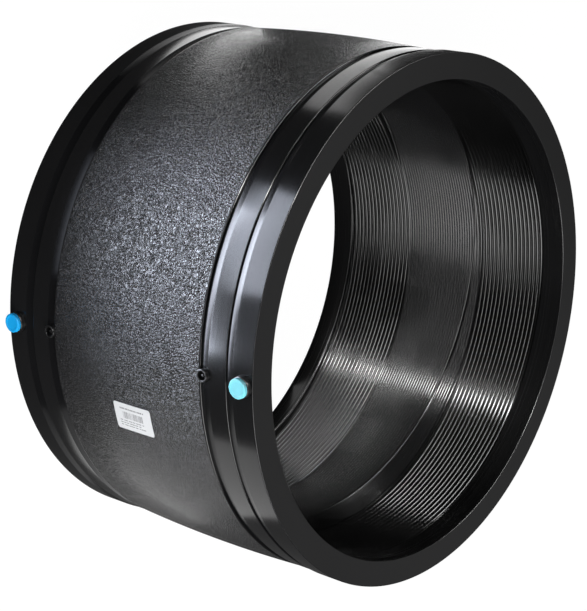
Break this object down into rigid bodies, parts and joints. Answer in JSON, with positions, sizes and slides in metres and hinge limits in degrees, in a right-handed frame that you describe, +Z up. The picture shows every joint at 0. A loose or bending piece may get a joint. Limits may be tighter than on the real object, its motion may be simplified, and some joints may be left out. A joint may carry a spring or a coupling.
{
  "type": "electrofusion coupler",
  "caption": "Large black plastic pipe sleeve with a ribbed heating winding in its bore, two capped terminals and two fusion indicators, for welding two pipe ends together",
  "frame": {"origin": "centre of the lower end face, on the bore axis", "axes": "+Z runs up along the bore axis; the terminals, their caps and the fusion indicators look along -Y"},
  "size_m": [0.4518, 0.4569, 0.268],
  "materials": {
    "black_polyethylene": "turned bands and a fine leather grain on the middle",
    "wire_coating": "smooth, rounded ridges",
    "insert_plastic": "moulded, slightly glossy",
    "contact_brass": "turned",
    "cap_blue": "moulded, satin",
    "label_paper": null
  },
  "bodies": {
    "sleeve": {"coupler_body": "black_polyethylene", "heating_winding": "wire_coating", "upper_terminal_shroud": "insert_plastic", "lower_terminal_shroud": "insert_plastic", "upper_contact_pin": "contact_brass", "lower_contact_pin": "contact_brass", "upper_indicator_bush": "insert_plastic", "lower_indicator_bush": "insert_plastic", "label": "label_paper"},
    "upper_cap": {"upper_terminal_cap": "cap_blue"},
    "lower_cap": {"lower_terminal_cap": "cap_blue"},
    "upper_indicator": {"upper_indicator_pin": "insert_plastic"},
    "lower_indicator": {"lower_indicator_pin": "insert_plastic"}
  },
  "joints": [
    {"name": "upper_cap_pull", "type": "slide", "parent": "sleeve", "child": "upper_cap", "axis": [0, -1, 0], "range_m": [0, 0.02]},
    {"name": "lower_cap_pull", "type": "slide", "parent": "sleeve", "child": "lower_cap", "axis": [0, -1, 0], "range_m": [0, 0.02]},
    {"name": "upper_indicator_rise", "type": "slide", "parent": "sleeve", "child": "upper_indicator", "axis": [0, -1, 0], "range_m": [0, 0.0035]},
    {"name": "lower_indicator_rise", "type": "slide", "parent": "sleeve", "child": "lower_indicator", "axis": [0, -1, 0], "range_m": [0, 0.0035]}
  ]
}
